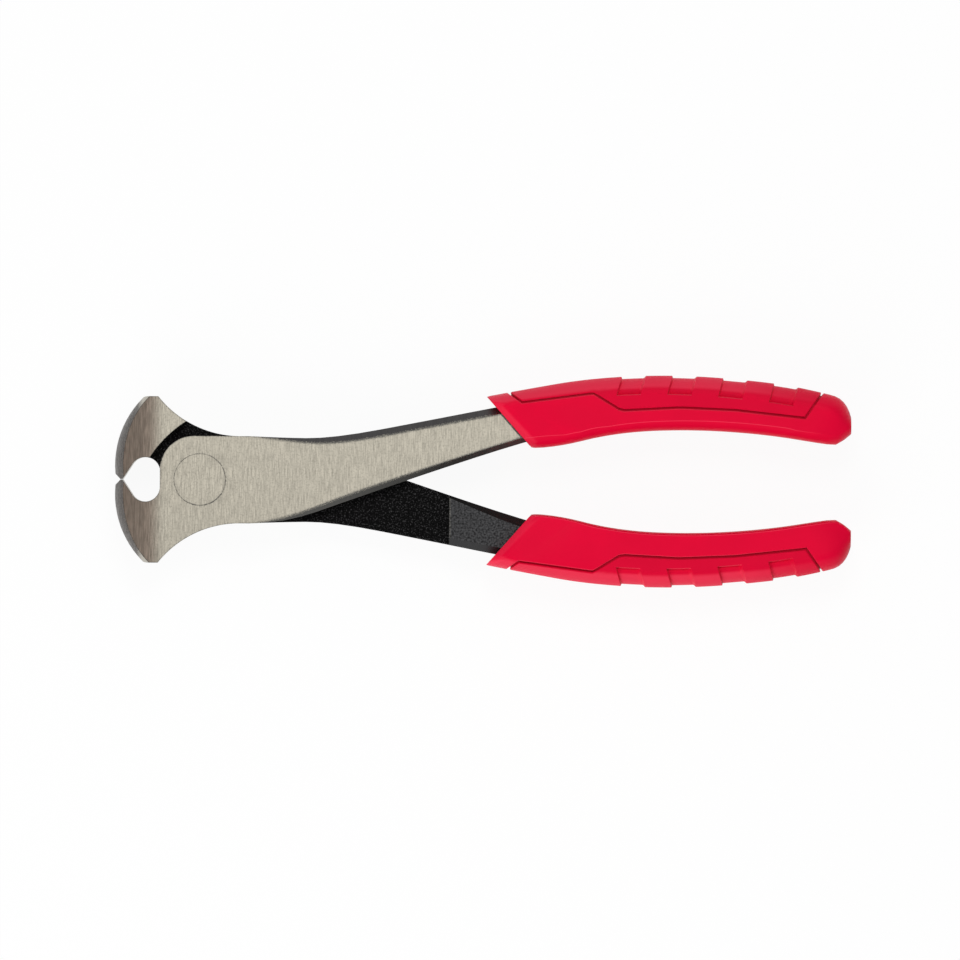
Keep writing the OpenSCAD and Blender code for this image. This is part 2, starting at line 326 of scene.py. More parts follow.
# Section of the grip: a row of points from the middle of its inner side to that of its outer side

def half_section(width, half_t, inner_round):
    """Dense upper half of a section as distances across and heights, and the inner rounding's width."""
    inner_w = min(inner_round[0], INNER_ROUND_SHARE * width)
    outer_w = min(OUTER_ROUND_W, OUTER_ROUND_SHARE * width)
    crease_w = inner_w / (1 - math.sin(CREASE_TURN))
    crease_d = inner_round[1] / math.cos(CREASE_TURN)
    turn_in = np.linspace(math.pi, math.pi / 2 + CREASE_TURN, ARC_POINTS)
    turn_out = np.linspace(math.pi / 2, 0, ARC_POINTS)
    across = np.concatenate([[0], crease_w + crease_w * np.cos(turn_in),
                             width - outer_w + outer_w * np.cos(turn_out), [width]])
    height = np.concatenate([[0], half_t - inner_round[1] + crease_d * np.sin(turn_in),
                             half_t - OUTER_ROUND_D + OUTER_ROUND_D * np.sin(turn_out), [0]])
    return np.stack([across, height], axis=1), inner_w


def between(start, end, steps):
    """Values strictly between two others."""
    return list(np.linspace(start, end, steps + 1)[1:-1])


def lips_on(inner, outer, seam):
    """Shares of a column's width at the rows of both lips of the seam."""
    way = outer - inner
    sides = np.concatenate([-SEAM_GAP - LIP_ROWS[::-1], LIP_ROWS])
    places = []
    for line in (shifted(seam, side) for side in sides):
        place = point_at(line, crossing(line, inner, way))
        places.append(np.dot(place - inner, way) / np.dot(way, way))
    return np.array(places)


def row_places(width, section, inner_w, lips):
    """Distances along half a section to the mesh's rows, and the rows at the crease, seam and pockets."""
    lengths = lengths_of(section)

    def place(across):
        rising = section[1:-1]
        return np.interp(across, rising[:, 0], lengths[1:-1])

    sleeve_lip, pad_lip = np.split(lips * width, 2)
    wall_at = max(width - math.hypot(POCKET_SLANT, POCKET_REACH), pad_lip[-1] + POCKET_SEAM_SPACE)
    crease = place(inner_w) + CREASE_ROWS
    inner_arc = lengths[1]
    outer_side = lengths[-2]
    rows = [0.0] + between(0, inner_arc, SIDE_STEPS) + [inner_arc]
    rows += between(inner_arc, crease[0], INNER_ARC_STEPS) + list(crease)
    crease_row = len(rows) - 2
    lip = [place(a) for a in sleeve_lip]
    rows += between(crease[-1], lip[0], FLAT_STEPS) + lip
    sleeve_row = len(rows) - 1
    lip = [place(a) for a in pad_lip]
    rows += lip
    wall = [place(wall_at + d) for d in WALL_ROWS]
    rows += between(lip[-1], wall[0], FLAT_STEPS) + wall
    wall_row = len(rows) - len(WALL_ROWS)
    rows += between(wall[-1], outer_side, OUTER_ARC_STEPS) + [outer_side]
    rows += between(outer_side, lengths[-1], SIDE_STEPS) + [lengths[-1]]
    rows = np.maximum.accumulate(rows) + ROW_STEP * np.arange(len(rows))
    return rows * lengths[-1] / rows[-1], (crease_row, sleeve_row, wall_row)


def half_ring(inner, outer, half_t, lips, inner_round):
    """Points of one half of a ring above the lap plane, and its rows at the crease, seam and pockets."""
    width = np.linalg.norm(outer - inner)
    section, inner_w = half_section(width, half_t, inner_round)
    rows, key_rows = row_places(width, section, inner_w, lips)
    lengths = lengths_of(section)
    across = np.interp(rows, lengths, section[:, 0])
    height = np.interp(rows, lengths, section[:, 1])
    plan = inner + np.outer(across / width, outer - inner)
    return np.column_stack([plan, height]), key_rows


def grip_grid():
    """Points of the whole grip's surface, one closed ring for each column, about the lap plane."""
    columns, index = grip_columns()
    first, last = dict(index)["front_sleeve"], dict(index)["rear_sleeve"]
    ends = [(point_at(INNER, inner_at), point_at(OUTER, outer_at)) for outer_at, inner_at in columns]
    outer_lengths = lengths_of(OUTER)
    rings = []
    for i, (inner, outer) in enumerate(ends):
        half_t = GRIP_HALF_T * np.interp(columns[i, 0], outer_lengths, DEPTH)
        beside_pad = ends[min(max(i, first), last)]
        front_lips, back_lips = lips_on(*beside_pad, FRONT_SEAM), lips_on(*beside_pad, BACK_SEAM)
        swell = SWELL_W * max(0, 1 - ((inner[0] - SWELL_X) / SWELL_L) ** 2)
        front_round = (FRONT_ROUND[0] + swell, FRONT_ROUND[1])
        front, key_rows = half_ring(inner, outer, half_t, front_lips, front_round)
        back, _ = half_ring(inner, outer, half_t, back_lips, BACK_ROUND)
        rings.append(np.concatenate([front, back[-2:0:-1] * (1, 1, -1)]))
    return np.array(rings), columns, index, key_rows


def normals_of(grid):
    """Outward directions at each point of a grid of closed rings."""
    around = np.roll(grid, -1, axis=1) - np.roll(grid, 1, axis=1)
    along = np.gradient(grid, axis=0)
    normal = np.cross(along, around)
    return normal / np.linalg.norm(normal, axis=2)[..., None]


class Grip:
    """Grid of one grip with its normals and the places of its edges."""

    def __init__(self):
        self.grid, self.columns, index, key_rows = grip_grid()
        self.crease_row, self.sleeve_row, self.wall_row = key_rows
        self.normal = normals_of(self.grid)
        self.rows = self.grid.shape[1]
        self.half = self.rows // 2
        self.key = dict(index)
        self.pockets = [(a[1], b[1]) for a, b in zip(index[:-1], index[1:]) if a[0] == "pocket_start"]

    def pressed(self, depth):
        """Points of the grid moved inwards."""
        return self.grid - self.normal * depth[..., None]


# Depths and distances on the grip's surface

def smooth_step(value):
    """Soft change from 0 to 1 as a value goes from 0 to 1."""
    value = np.clip(value, 0, 1)
    return value * value * (3 - 2 * value)


def round_depth(distance, radius):
    """How far a rounded edge falls at a distance from it."""
    left = np.clip(radius - distance, 0, radius)
    return radius - np.sqrt(radius ** 2 - left ** 2)


def nose_distances(grip):
    """Distance of every point of the grid behind the nose's line."""
    plan = grip.grid[..., :2]
    return np.abs(side_of(plan, plan[0, 0], plan[0, grip.half] - plan[0, 0]))


def thinned(grip, points):
    """Points with the nose's bevel and the rear end's rounding taken off the thickness."""
    bevel = NOSE_BEVEL_D * np.clip(1 - nose_distances(grip) / NOSE_BEVEL_L, 0, 1)
    loss = bevel + round_depth(HANDLE_REACH - grip.grid[..., 0], TAIL_ROUND_L)
    return points * np.stack([np.ones_like(loss), np.ones_like(loss), 1 - loss / GRIP_HALF_T], axis=-1)


def above(plan, line):
    """Distance of points above a line that runs along the grip."""
    rise = plan[..., 1] - np.interp(plan[..., 0], line[:, 0], line[:, 1])
    slope = np.interp(plan[..., 0], line[:, 0], np.gradient(line[:, 1], line[:, 0]))
    return rise / np.sqrt(1 + slope ** 2)


def edge_distances(grip, shift):
    """Signed distances inside the pad's front end, rear end and long seam, each moved outwards."""
    plan = grip.grid[..., :2]
    front_start, front_end = placed(PAD_FRONT_SHARES)
    rear_start, rear_end = placed(PAD_REAR_SHARES)
    front = side_of(plan, front_end, front_end - front_start) + shift
    rear = side_of(plan, rear_start, rear_end - rear_start) + shift
    seam = np.where(grip.grid[..., 2] >= 0, above(plan, FRONT_SEAM), above(plan, BACK_SEAM)) + shift
    return front, rear, seam


def pocket_depth(grip):
    """Depth of the pockets at every point of the grid."""
    outer_at = grip.columns[:, 0]
    along = np.zeros(len(outer_at))
    for start, end in grip.pockets:
        rise = smooth_step((outer_at - outer_at[start] + POCKET_WALL_LAP) / POCKET_FRONT_WALL)
        fall = smooth_step((outer_at[end] - outer_at + POCKET_WALL_LAP) / POCKET_REAR_WALL)
        along += rise * fall
    wall_end = grip.wall_row + len(WALL_ROWS)
    across = np.zeros(grip.half + 1)
    across[grip.wall_row:wall_end] = smooth_step((WALL_ROWS - WALL_ROWS[1]) / (WALL_ROWS[-2] - WALL_ROWS[1]))
    across[wall_end:] = 1
    across *= np.interp(np.arange(grip.half + 1), (grip.wall_row, grip.half), (POCKET_INNER_D, POCKET_D))
    whole_ring = np.concatenate([across, across[-2:0:-1]])
    return along[:, None] * whole_ring[None, :]


# Faces and pieces

def neighbours(start, end):
    """Pairs of neighbouring numbers from a start to an end."""
    return [(j, j + 1) for j in range(start, end)]


def quads(columns, rows, at):
    """Faces between neighbouring columns and rows of a grid of point numbers."""
    faces = []
    for i in columns:
        for j, k in rows:
            faces.append((at(i, j), at(i + 1, j), at(i + 1, k), at(i, k)))
    return faces


def border_pairs(n, m):
    """Pairs of neighbouring places round the border of a grid."""
    border = [(i, 0) for i in range(n)] + [(n - 1, j) for j in range(1, m)]
    border += [(i, m - 1) for i in range(n - 2, -1, -1)] + [(0, j) for j in range(m - 2, 0, -1)]
    return list(zip(border, border[1:] + border[:1]))


def border_mask(n, m, count):
    """Mask of the outermost rows and columns of a grid."""
    inside = np.zeros((n, m), bool)
    inside[count:-count, count:-count] = True
    return ~inside


def mesh_piece(name, points, faces, marks, turned):
    """Closed piece in the shared frame, turned over for the lower handle."""
    used, numbers = np.unique(np.concatenate(faces), return_inverse=True)
    starts = np.cumsum([len(face) for face in faces])[:-1]
    faces = [part.tolist() for part in np.split(numbers, starts)]
    points, marks = points[used], marks[used]
    if turned:
        points = points * (1, -1, -1)
    points = (points + (0, 0, LAP_Z)) * MM
    mesh = bpy.data.meshes.new(name)
    mesh.from_pydata(points.tolist(), [], faces)
    mesh.polygons.foreach_set("use_smooth", [True] * len(mesh.polygons))
    mesh.set_sharp_from_angle(angle=SHARP_ANGLE)
    mesh.attributes.new(PAINTED_LIGHT_MARK, "FLOAT", "POINT").data.foreach_set("value", marks)
    piece = bpy.data.objects.new(name, mesh)
    bpy.context.scene.collection.objects.link(piece)
    return piece


def pad_mesh(grip):
    """Points, faces and marks of the soft pad with its rounded lips and pockets."""
    first, last = grip.key["front_pad"], grip.key["rear_pad"]
    low, high = grip.sleeve_row + 1, grip.rows - grip.sleeve_row - 1
    n, m = last + 1 - first, high + 1 - low
    pad = np.s_[first:last + 1, low:high + 1]
    front, rear, seam = edge_distances(grip, 0)
    lip = round_depth(np.minimum(np.minimum(front, rear), seam), LIP_R)
    top = grip.pressed(np.maximum(lip, pocket_depth(grip)))[pad]
    under_depth = np.zeros(lip.shape)
    under_depth[pad] = np.where(border_mask(n, m, PAD_BORDER_ROWS), GROOVE_D, PAD_T) - BOND_GAP
    under = grip.pressed(under_depth)[pad]
    points = np.concatenate([top.reshape(-1, 3), under.reshape(-1, 3)])

    def on_top(i, j):
        return i * m + j

    def on_under(i, j):
        return n * m + i * m + j

    strips = neighbours(0, m - 1)
    faces = quads(range(n - 1), strips, on_top)
    faces += [face[::-1] for face in quads(range(n - 1), strips, on_under)]
    for a, b in border_pairs(n, m):
        faces.append((on_top(*b), on_top(*a), on_under(*a), on_under(*b)))
    return points, faces, np.repeat([0.0, GROOVE_SHADE], n * m)


# Bore of a grip, which leaves room round the tang

def bore_corners():
    """Eight corner lines of the bore, each a row of points."""
    outer = soft_curve(placed(TANG_OUTER_SHARES))
    inner = soft_curve(placed(TANG_INNER_SHARES))
    along = (outer - inner) / np.linalg.norm(outer - inner, axis=1)[:, None]
    low = inner - BOND_GAP * along
    high = outer + BOND_GAP * along
    back, front = TANG_BACK - BOND_GAP, TANG_FRONT + BOND_GAP
    places = [(low, 0, back + BORE_CUT_D), (low, BORE_CUT_W, back),
              (high, -BORE_CUT_W, back), (high, 0, back + BORE_CUT_D),
              (high, 0, front - BORE_CUT_D), (high, -BORE_CUT_W, front),
              (low, BORE_CUT_W, front), (low, 0, front - BORE_CUT_D)]
    return [np.column_stack([edge + move * along, np.full(len(edge), z)]) for edge, move, z in places]


def bore_line(corner, start, way):
    """Stretch of a corner line from the nose's line to the tang's end, as a fixed count of points."""
    k, share = first_crossing(corner[:, :2], start, way)
    first = corner[k] + share * (corner[k + 1] - corner[k])
    inside = corner[k + 1:]
    line = np.concatenate([[first], inside[inside[:, 0] < TANG_REACH]])
    picks = np.linspace(0, len(line) - 1, BORE_STATIONS)
    return np.column_stack([np.interp(picks, np.arange(len(line)), line[:, axis]) for axis in range(3)])


def turn_between(a, b):
    """Cross product of two flat vectors."""
    return a[0] * b[1] - a[1] * b[0]


def mouth_hit(way_out, corners):
    """Side of the bore's mouth that a ray from its centre meets, and the share along that side."""
    for k, corner in enumerate(corners):
        side = corners[(k + 1) % len(corners)] - corner
        turn = turn_between(way_out, side)
        if abs(turn) < TINY:
            continue
        reach = turn_between(corner, side) / turn
        share = np.dot(reach * way_out - corner, side) / np.dot(side, side)
        if reach > 0 and -TINY <= share <= 1 + TINY:
            return k, share


def bore_rings(nose_ring):
    """Rings of the bore, one point for each point of the nose's ring."""
    start = nose_ring[0, :2]
    way = nose_ring[len(nose_ring) // 2, :2] - start
    unit = way / np.linalg.norm(way)
    lines = np.array([bore_line(corner, start, way) for corner in bore_corners()])

    def flat(points):
        return np.column_stack([(points[:, :2] - start) @ unit, points[:, 2]])

    mouth = flat(lines[:, 0])
    centre = mouth.mean(axis=0)
    hits = [mouth_hit(point - centre, mouth - centre) for point in flat(nose_ring)]
    sides = np.array([k for k, _ in hits])
    shares = np.array([share for _, share in hits])[:, None, None]
    points = lines[sides] + shares * (lines[(sides + 1) % len(lines)] - lines[sides])
    return points.transpose(1, 0, 2)


def sleeve_skin(grip):
    """Points of the sleeve's outside with its lips along the seam and its softened ends."""
    front, rear, seam = edge_distances(grip, SEAM_GAP)
    outside = np.maximum(np.maximum(-front, -rear), -seam)
    trim = NOSE_TRIM * np.clip(1 - nose_distances(grip) / NOSE_TRIM_L, 0, 1)
    return thinned(grip, grip.pressed(round_depth(np.maximum(outside, 0), LIP_R) + trim))


def skin_marks(grip):
    """Marks of the sleeve's outside: painted highlights on the nose's bevel and along both creases."""
    marks = NOSE_HIGHLIGHT * (nose_distances(grip) < NOSE_BEVEL_L)
    for row, fade in ((grip.crease_row, CREASE_FADE), (-grip.crease_row, BACK_CREASE_FADE)):
        marks[:, row] = np.interp(grip.grid[:, row, 0], fade, (CREASE_HIGHLIGHT, 0))
    return marks


def sleeve_mesh(grip):
    """Points, faces and marks of the hard sleeve with the pad's recess and the tang's bore."""
    first, last = grip.key["front_sleeve"], grip.key["rear_sleeve"]
    low, high = grip.sleeve_row, grip.rows - grip.sleeve_row
    count, rows = grip.grid.shape[:2]
    n, m = last + 1 - first, high + 1 - low
    recess = np.s_[first:last + 1, low:high + 1]
    floor_depth = np.zeros((count, rows))
    floor_depth[recess] = np.where(border_mask(n, m, RECESS_BORDER_ROWS), GROOVE_D, PAD_T)
    floor = grip.pressed(floor_depth)[recess]
    skin = sleeve_skin(grip)
    bore = bore_rings(skin[0])
    ends = [skin[-1].mean(axis=0), bore[-1].mean(axis=0)]
    points = np.concatenate([skin.reshape(-1, 3), floor.reshape(-1, 3), bore.reshape(-1, 3), ends])
    floor_start = count * rows
    bore_start = floor_start + n * m
    tail_point = bore_start + BORE_STATIONS * rows
    bore_point = tail_point + 1

    def on_skin(i, j):
        return i * rows + j % rows

    def on_floor(i, j):
        return floor_start + i * m + j

    def on_bore(i, j):
        return bore_start + i * rows + j % rows

    ring = neighbours(0, rows)
    under_pad = neighbours(low, high)
    beside_pad = [pair for pair in ring if pair not in under_pad]
    faces = quads(range(first), ring, on_skin)
    faces += quads(range(first, last), beside_pad, on_skin)
    faces += quads(range(last, count - 1), ring, on_skin)
    faces += quads(range(n - 1), neighbours(0, m - 1), on_floor)
    for (a, b), (c, d) in border_pairs(n, m):
        lip = (on_skin(first + a, low + b), on_skin(first + c, low + d))
        faces.append((*lip, on_floor(c, d), on_floor(a, b)))
    for j, k in ring:
        faces.append((on_skin(0, j), on_skin(0, k), on_bore(0, k), on_bore(0, j)))
        faces.append((on_skin(count - 1, k), on_skin(count - 1, j), tail_point))
        faces.append((on_bore(BORE_STATIONS - 1, j), on_bore(BORE_STATIONS - 1, k), bore_point))
    faces += [face[::-1] for face in quads(range(BORE_STATIONS - 1), ring, on_bore)]
    unmarked = np.zeros(len(points) - bore_start)
    marks = np.concatenate([skin_marks(grip).ravel(), np.full(n * m, GROOVE_SHADE), unmarked])
    return points, faces, marks


# Material nodes

# Places of the colour sockets of a mix node
MIX_A, MIX_B, MIX_RESULT = 6, 7, 2
EDGE_SAMPLES = 8


def shade(colour, factor):
    """Colour made darker or lighter."""
    return tuple(c * factor for c in colour)


class Nodes:
    """Short ways to add and join nodes of one material."""

    def __init__(self, name):
        self.material = bpy.data.materials.new(name)
        self.material.use_nodes = True
        self.tree = self.material.node_tree
        self.shader = self.tree.nodes["Principled BSDF"]

    def add(self, kind, **settings):
        """New node with settings."""
        node = self.tree.nodes.new(kind)
        for key, value in settings.items():
            setattr(node, key, value)
        return node

    def join(self, value, socket):
        """Link from another node, or a plain value."""
        if isinstance(value, bpy.types.NodeSocket):
            self.tree.links.new(value, socket)
        else:
            socket.default_value = value

    def place(self):
        """Position in the shared frame, in millimetres."""
        coords = self.add("ShaderNodeTexCoord")
        scale = self.add("ShaderNodeVectorMath", operation="SCALE")
        self.join(coords.outputs["Object"], scale.inputs[0])
        scale.inputs["Scale"].default_value = 1 / MM
        return scale.outputs[0]

    def facing(self):
        """Direction of the surface in the piece's own frame."""
        return self.add("ShaderNodeTexCoord").outputs["Normal"]

    def axes(self, vector):
        """Parts of a vector along the three axes."""
        split = self.add("ShaderNodeSeparateXYZ")
        self.join(vector, split.inputs[0])
        return split.outputs

    def maths(self, operation, a, b=0.0):
        """Result of a calculation with one or two values."""
        node = self.add("ShaderNodeMath", operation=operation)
        for value, socket in zip((a, b), node.inputs):
            self.join(value, socket)
        return node.outputs[0]

    def ramp(self, value, start, end, low=0.0, high=1.0):
        """Smooth change from low to high as a value goes from start to end."""
        node = self.add("ShaderNodeMapRange", interpolation_type="SMOOTHSTEP")
        for name, item in (("Value", value), ("From Min", start), ("From Max", end),
                           ("To Min", low), ("To Max", high)):
            self.join(item, node.inputs[name])
        return node.outputs["Result"]

    def noise(self, vector, spacing, detail=2.0, stretch=(1, 1, 1)):
        """Noise from 0 to 1 whose grains lie some millimetres apart."""
        node = self.add("ShaderNodeTexNoise")
        mapping = self.add("ShaderNodeMapping")
        self.join(vector, mapping.inputs["Vector"])
        mapping.inputs["Scale"].default_value = [1 / (spacing * s) for s in stretch]
        self.join(mapping.outputs[0], node.inputs["Vector"])
        node.inputs["Scale"].default_value = 1
        node.inputs["Detail"].default_value = detail
        return node.outputs["Fac"]

    def mix(self, share, a, b):
        """Colour between two others."""
        node = self.add("ShaderNodeMix", data_type="RGBA")
        self.join(share, node.inputs["Factor"])
        for value, socket in ((a, node.inputs[MIX_A]), (b, node.inputs[MIX_B])):
            self.join(value if isinstance(value, bpy.types.NodeSocket) else (*value, 1), socket)
        return node.outputs[MIX_RESULT]

    def tinted(self, colour, tints, value):
        """Colour made darker and lighter by a value from 0 to 1."""
        dark, light = tints
        return self.mix(value, shade(colour, dark), shade(colour, light))

    def bump(self, height, distance, strength, after=None):
        """Direction of a surface that a pattern raises."""
        node = self.add("ShaderNodeBump")
        node.inputs["Strength"].default_value = strength
        node.inputs["Distance"].default_value = distance * MM
        self.join(height, node.inputs["Height"])
        if after is not None:
            self.join(after, node.inputs["Normal"])
        return node.outputs[0]

    def edge(self, reach, turns):
        """Nearness to an edge, from 0 on a face to 1 where a rounded edge would have turned away from it."""
        rounded = self.add("ShaderNodeBevel", samples=EDGE_SAMPLES)
        rounded.inputs["Radius"].default_value = reach * MM
        turn = self.add("ShaderNodeVectorMath", operation="DOT_PRODUCT")
        self.join(rounded.outputs[0], turn.inputs[0])
        self.join(self.add("ShaderNodeNewGeometry").outputs["True Normal"], turn.inputs[1])
        return self.ramp(turn.outputs["Value"], *turns)

    def set(self, **values):
        """Inputs of the shader, by name with underscores."""
        for name, value in values.items():
            self.join(value, self.shader.inputs[name.replace("_", " ")])


# Steel. A ramp gives the start and end of a value, and the results there where they aren't 0 and 1.
# A tint gives the darkest and lightest factor of a colour, and a spacing is in millimetres.

GROUND = (0.47, 0.437, 0.362)
# Colour of the jaws' flare: painted shade of its tilted faces, darker and browner than the ground face
FLARE_SHADE = (0.35, 0.273, 0.221)
RIM = (0.068, 0.058, 0.05)
BEVEL = (0.1, 0.098, 0.092)
# Darker tones for bevels that face +Y: painted shade on the side away from the key light
UPPER_BEVEL_SHADE = (0.08, 0.077, 0.077)
DARK_BEVEL_SHADE = (0.016, 0.0155, 0.015)
TANG = (0.043, 0.043, 0.0445)
# Near-black lap: the oxide, darkened further with painted shade of its recess
LAP_OXIDE_SHADE = (0.008, 0.0078, 0.008)

# Grinding marks across the tool, wider clouds among them, specks and fine grain
MARK_SPACING = 0.24
MARK_DETAIL = 3
MARK_STRETCH = (1, 14, 14)
MARK_RAMP = (0.25, 0.75)
MARK_TINT = (0.83, 1.15)
CLOUD_SPACING = 1.9
CLOUD_STRETCH = (1, 12, 12)
CLOUD_RAMP = (0.35, 0.75, 0, 0.16)
CLOUD_SHADE = 0.8
SPECK_SPACING = 0.5
SPECK_DETAIL = 4
SPECK_RAMP = (0.45, 0.75, 0, 0.6)
SPECK_SHADE = 0.6
GRAIN_SPACING = 0.22

# Bare steel: the ground face with specks below its edge, the jaw in front of the lap, the rivet's hole
FACE_FADE = (0.16, 0.04)
FRONT_FACE = (FRONT_FACE_Z - FACE_FADE[0], FRONT_FACE_Z - FACE_FADE[1])
BACK_FACE = FACE_FADE
EDGE_WEAR = 0.4
EDGE_WEAR_RAMP = (0.42, 0.75)
SHOULDER_RAMP = (SHOULDER_R + 0.02, SHOULDER_R + 0.1)
JAW_RAMP = (6, 5)
HOLE_RAMP = (RIVET_R + 0.4, RIVET_R + 0.3)

# Flare of the jaws, where the surface faces up or down, given a darker, browner colour as painted shade of
# its tilt
FLARE_TINT = (0.74, 1.24)
FLARE_FACING = (0.3, 0.6)
FLARE_RAMP = (-9, -13.5, 0, 0.85)

# Outer face of the jaws
RIM_SPACING = 0.38
RIM_DETAIL = 4
RIM_RAMP = (0.36, 0.75)
RIM_TINT = (0.55, 1.95)
RIM_FACING = (-0.3, -0.45)
RIM_START = (-14, -16)

# The ground face has darker specks near its edges, partly oxide and partly painted shade of the edges'
# rounding, and on the arms the oxide of the bevels reaches over them
EDGE_REACH = 0.6
EDGE_TURNS = (0.995, 0.85)
EDGE_SPECKS = (0.35, 0.6, 0.25, 0.9)
BEVEL_REACH = 0.9
BEVEL_TURNS = (0.995, 0.985)
BEVEL_SPECKS = (0.3, 0.5, 0.5, 1)
BEVEL_START = (6, 30)

# Oxide of the lap, of the tang behind it and on the step between them, and of bevels and sides. The lap's
# near-black is partly the oxide and partly painted shade of its recess, a lighter strip on the step is a
# painted highlight, and bevels facing +Y get darker tones as painted shade
LAP_SPACING = 0.4
LAP_DETAIL = 3
LAP_RAMP = (0.5, 0.8)
LAP_TINT = (0.5, 7.5)
TANG_START = (LAP_END - 0.15, LAP_END)
TANG_RAMP = (0.3, 0.7)
TANG_TINT = (0.4, 1.7)
# The lighter strip on the step is a painted highlight
STEP_END = (LAP_END + 0.45, LAP_END + 0.25)
STEP_FACING = (0.3, 0.15)
STEP_RAMP = (0.35, 0.65)
STEP_TINT = (0.3, 1.2)
LEVEL_FACING = (0.86, 0.97)
UPPER_FACING = (-0.2, 0.2)

# Line round the rivet
LINE_SPACING = 2
LINE_RAMP = (0.35, 0.6)
LINE_SIDE = (-7, 8, 0.15, 1)
LINE_EDGE = (RIVET_R - 0.25, RIVET_R - 0.02)

STEEL_SPECULAR = 0.1
OXIDE_ROUGHNESS = 0.42
GROUND_ROUGHNESS = 0.3
MARK_ROUGHNESS = 0.14
MARK_HEIGHT = 0.012
MARK_STRENGTH = 0.5
GRAIN_HEIGHT = 0.01
GRAIN_STRENGTH = 0.25


def grind_marks(n, place):
    """Fine marks across the tool, from 0 to 1."""
    return n.ramp(n.noise(place, MARK_SPACING, MARK_DETAIL, MARK_STRETCH), *MARK_RAMP)


def specked(n, ground, speck):
    """Ground steel with darker specks."""
    return n.mix(n.ramp(speck, *SPECK_RAMP), ground, shade(GROUND, SPECK_SHADE))


def distance_from(n, x, y, centre):
    """Distance from an axis along Z."""
    across = n.maths("SUBTRACT", x, centre[0])
    up = n.maths("SUBTRACT", y, centre[1])
    return n.maths("SQRT", n.maths("ADD", n.maths("MULTIPLY", across, across), n.maths("MULTIPLY", up, up)))


def rivet_line(n, place):
    """How dark the line round the rivet is, uneven and strongest at the lower right."""
    x, y, _ = n.axes(place)
    side = n.ramp(n.maths("SUBTRACT", x, y), *LINE_SIDE)
    return n.maths("MULTIPLY", side, n.ramp(n.noise(place, LINE_SPACING), *LINE_RAMP))


class LeverNodes(Nodes):
    """Nodes of a lever's steel, with the places, directions and patterns that its surfaces share."""

    def __init__(self, name):
        super().__init__(name)
        self.at = self.place()
        self.x, self.y, self.z = self.axes(self.at)
        self.outward, self.sideways, self.upward = self.axes(self.facing())
        self.marks = grind_marks(self, self.at)
        self.grain = self.noise(self.at, GRAIN_SPACING)
        self.speck = self.noise(self.at, SPECK_SPACING, SPECK_DETAIL)


def bare_share(n, face, shoulder_side):
    """Where a lever is bare: on its ground face, on its jaw and in the rivet's hole."""
    wear = n.ramp(n.grain, *EDGE_WEAR_RAMP, 0, EDGE_WEAR * math.copysign(1, face[1] - face[0]))
    on_face = n.ramp(n.maths("ADD", n.z, wear), *face)
    from_shoulder = distance_from(n, n.x, n.y, (SHOULDER_BACK, SHOULDER_RISE * shoulder_side))
    on_jaw = n.maths("MULTIPLY", n.ramp(from_shoulder, *SHOULDER_RAMP), n.ramp(n.x, *JAW_RAMP))
    in_hole = n.ramp(distance_from(n, n.x, n.y, (0, 0)), *HOLE_RAMP)
    in_hole = n.maths("MULTIPLY", in_hole, n.maths("SUBTRACT", 1.0, rivet_line(n, n.at)))
    return n.maths("MAXIMUM", n.maths("MAXIMUM", on_face, on_jaw), in_hole)


def rim_share(n):
    """Where a lever has the outer face of its jaw."""
    return n.maths("MULTIPLY", n.ramp(n.outward, *RIM_FACING), n.ramp(n.x, *RIM_START))


def ground_colour(n, on_rim):
    """Ground steel with painted shade on the jaw's flare, a darker outer face, and darker specks near its
    edges that are partly oxide and partly painted shade.
    """
    cloud = n.noise(n.at, CLOUD_SPACING, stretch=CLOUD_STRETCH)
    ground = n.tinted(GROUND, MARK_TINT, n.marks)
    ground = n.mix(n.ramp(cloud, *CLOUD_RAMP), ground, shade(GROUND, CLOUD_SHADE))
    ground = specked(n, ground, n.speck)
    # Painted shade on the jaw's flare
    on_flare = n.ramp(n.maths("ABSOLUTE", n.upward), *FLARE_FACING)
    on_flare = n.maths("MULTIPLY", on_flare, n.ramp(n.x, *FLARE_RAMP))
    ground = n.mix(on_flare, ground, n.tinted(FLARE_SHADE, FLARE_TINT, n.marks))
    rim_grain = n.noise(n.at, RIM_SPACING, RIM_DETAIL)
    ground = n.mix(on_rim, ground, n.tinted(RIM, RIM_TINT, n.ramp(rim_grain, *RIM_RAMP)))
    # Darker specks near the edges: partly oxide, partly painted shade of the edges' rounding
    edge_shade_specks = n.maths("MULTIPLY", n.edge(EDGE_REACH, EDGE_TURNS), n.ramp(n.speck, *EDGE_SPECKS))
    ground = n.mix(edge_shade_specks, ground, BEVEL)
    oxide = n.maths("MULTIPLY", n.edge(BEVEL_REACH, BEVEL_TURNS), n.ramp(n.x, *BEVEL_START))
    return n.mix(n.maths("MULTIPLY", oxide, n.ramp(n.speck, *BEVEL_SPECKS)), ground, BEVEL)


